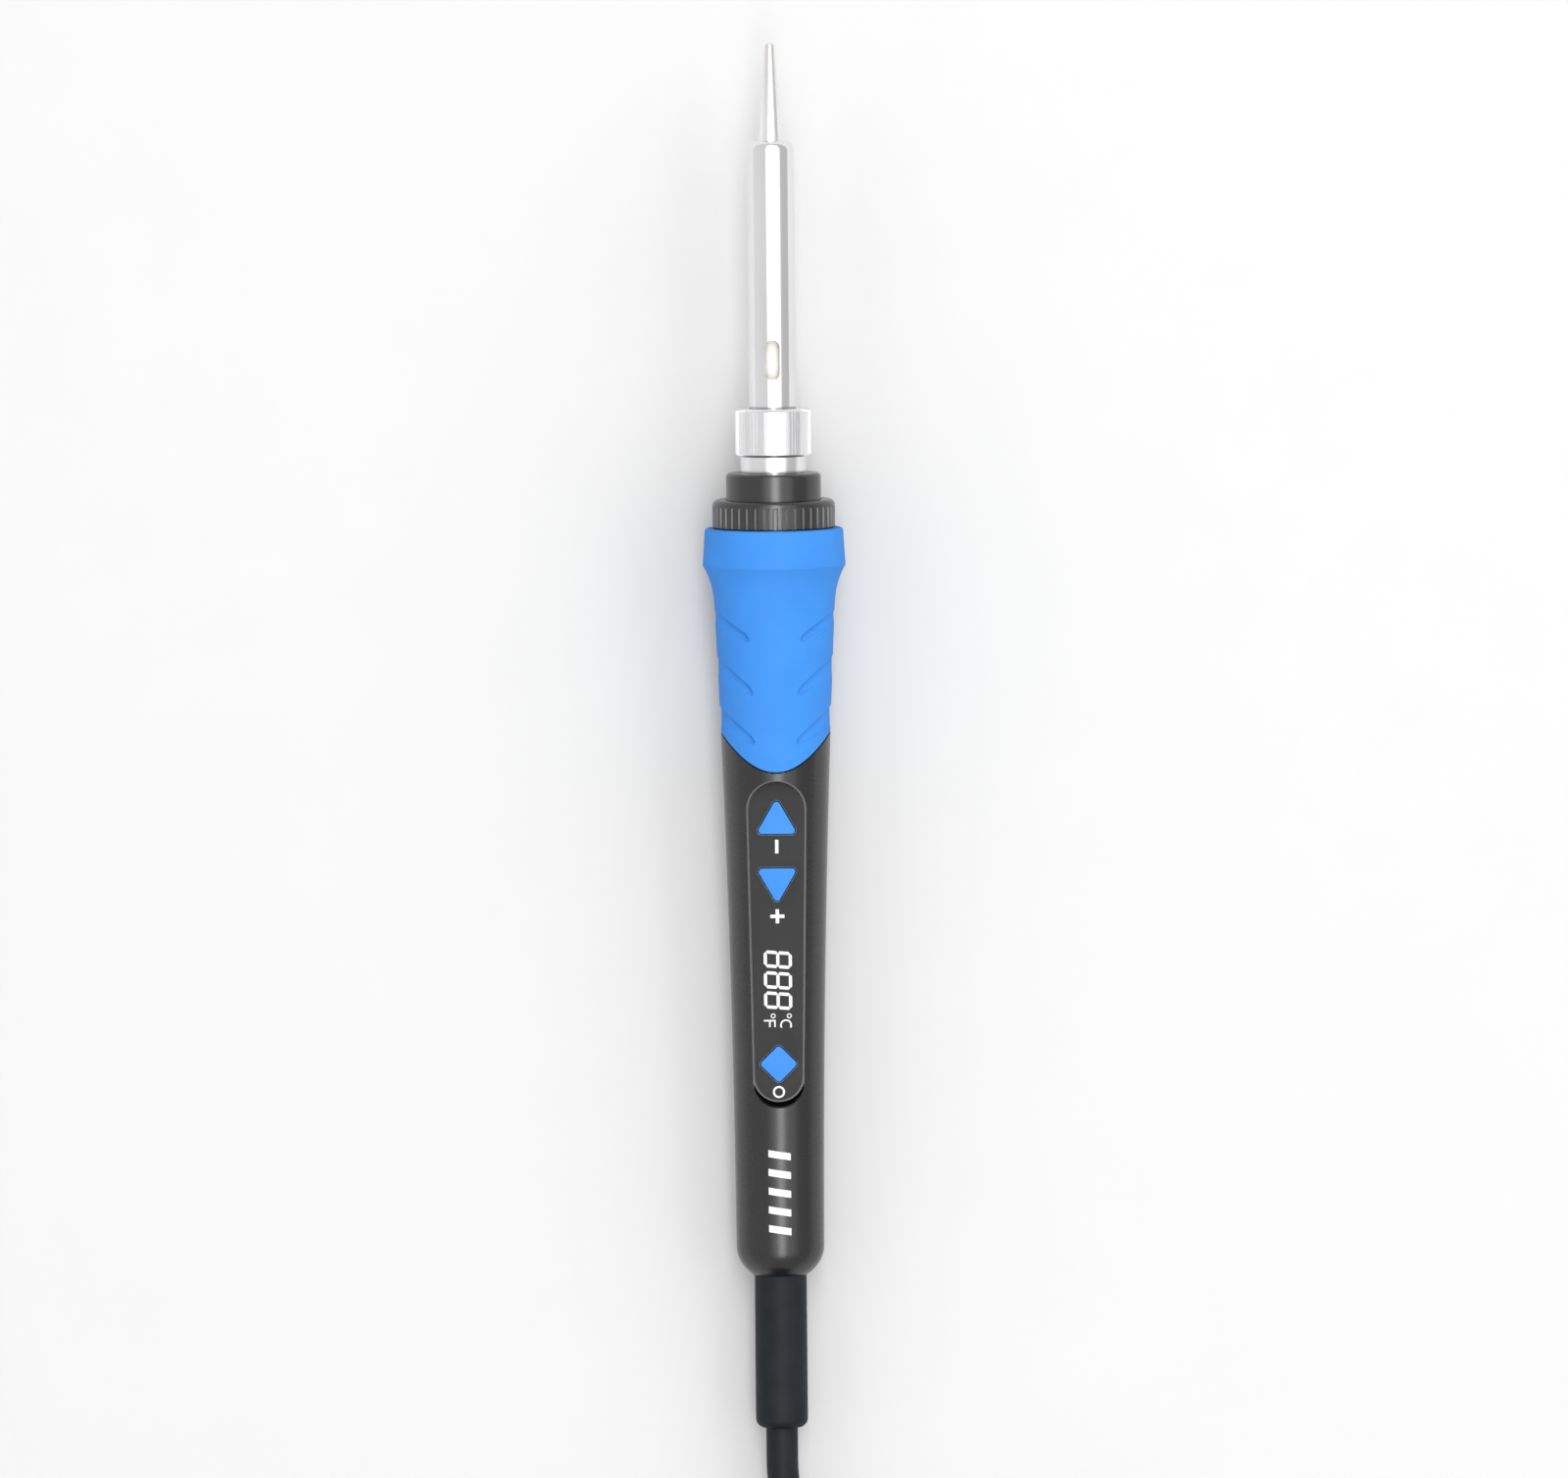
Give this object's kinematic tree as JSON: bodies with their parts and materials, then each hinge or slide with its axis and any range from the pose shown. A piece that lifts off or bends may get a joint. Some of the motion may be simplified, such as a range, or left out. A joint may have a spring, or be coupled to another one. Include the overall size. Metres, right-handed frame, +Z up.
{
  "type": "soldering iron",
  "caption": "Pencil soldering iron with a steel barrel, soft grip, buttons and digital display in its handle, and a mains cord.",
  "frame": {"origin": "on the bench under the middle of the iron itself, cord left out", "axes": "+Y along the iron towards the tip, +Z up out of the control panel, +X to the right seen from the handle end"},
  "size_m": [0.05, 0.3884, 0.0299],
  "materials": {
    "tip_plating": "bright iron plating",
    "barrel_steel": "polished stainless",
    "nut_metal": "bright knurled",
    "black_plastic": "satin black",
    "blue_silicone": "soft satin",
    "handle_plastic": "semi-gloss dark grey",
    "panel_plastic": "flat dark grey",
    "button_plastic": "satin blue",
    "white_print": "flat white",
    "ceramic": "fired alumina",
    "washer_steel": "plain",
    "heater_wire": "glass-fibre sleeve",
    "board": "solder mask",
    "chip_black": "moulded epoxy",
    "switch_grey": "moulded",
    "capacitor_sleeve": "printed sleeve",
    "screw_steel": "zinc plated",
    "lead_brown": "wire insulation",
    "lead_earth": "wire insulation",
    "cord_jacket": "satin black",
    "tie_black": "woven strap",
    "pin_brass": "nickel plated"
  },
  "bodies": {
    "handle": {"ferrule": "nut_metal", "heater_rod": "ceramic", "heater_base": "ceramic", "heater_leads": "heater_wire", "collar": "black_plastic", "grip": "blue_silicone", "upper_shell": "handle_plastic", "lower_shell": "handle_plastic", "panel_cover": "panel_plastic", "panel_marks": "white_print", "display_segments": "white_print", "trim_print": "white_print", "led_display": "chip_black", "tact_switches": "switch_grey", "circuit_board": "board", "control_chip": "chip_black", "triac": "chip_black", "capacitor": "capacitor_sleeve", "board_screws": "screw_steel", "shell_screws": "screw_steel", "mains_leads": "lead_brown", "earth_lead": "lead_earth", "cord_clamp": "washer_steel", "cord_core": "cord_jacket", "strain_relief": "cord_jacket", "cord": "cord_jacket", "cord_hank": "cord_jacket", "cord_tie": "tie_black", "cord_tail": "cord_jacket", "plug_relief": "cord_jacket", "plug_body": "cord_jacket", "plug_pins": "pin_brass"},
    "barrel": {"tip": "tip_plating", "barrel": "barrel_steel"},
    "barrel_nut": {"barrel_nut": "nut_metal"},
    "slip_washer": {"slip_washer": "washer_steel"},
    "retaining_ring": {"retaining_ring": "black_plastic"},
    "button_minus": {"button_minus": "button_plastic", "plunger_minus": "switch_grey"},
    "button_plus": {"button_plus": "button_plastic", "plunger_plus": "switch_grey"},
    "button_set": {"button_set": "button_plastic", "plunger_set": "switch_grey"}
  },
  "joints": [
    {"name": "barrel_slide", "type": "slide", "parent": "handle", "child": "barrel", "axis": [0, 0.9992, 0.0403], "range_m": [0, 0.0045]},
    {"name": "nut_turn", "type": "hinge", "parent": "barrel", "child": "barrel_nut", "pos_m": [0, 0.05197, 0.01306], "axis": [0, 0.9992, 0.0403], "range_deg": [0, 1620]},
    {"name": "ring_slide", "type": "slide", "parent": "handle", "child": "slip_washer", "axis": [0, 0.9992, 0.0403], "range_m": [0, 0.0045]},
    {"name": "ring_turn", "type": "hinge", "parent": "slip_washer", "child": "retaining_ring", "pos_m": [0, 0.03798, 0.0125], "axis": [0, 0.9992, 0.0403], "range_deg": [0, 1080]},
    {"name": "press_minus", "type": "slide", "parent": "handle", "child": "button_minus", "axis": [0, 0.0581, -0.9983], "range_m": [0, 0.0004], "stiffness_N_per_m": 1500},
    {"name": "press_plus", "type": "slide", "parent": "handle", "child": "button_plus", "axis": [0, 0.0581, -0.9983], "range_m": [0, 0.0004], "stiffness_N_per_m": 1500},
    {"name": "press_set", "type": "slide", "parent": "handle", "child": "button_set", "axis": [0, 0.0581, -0.9983], "range_m": [0, 0.0004], "stiffness_N_per_m": 1500}
  ],
  "couplings": [
    {"joint": "nut_turn", "follows": "barrel_slide", "rad_per_m": 6283.2},
    {"joint": "ring_turn", "follows": "ring_slide", "rad_per_m": 4188.8}
  ]
}
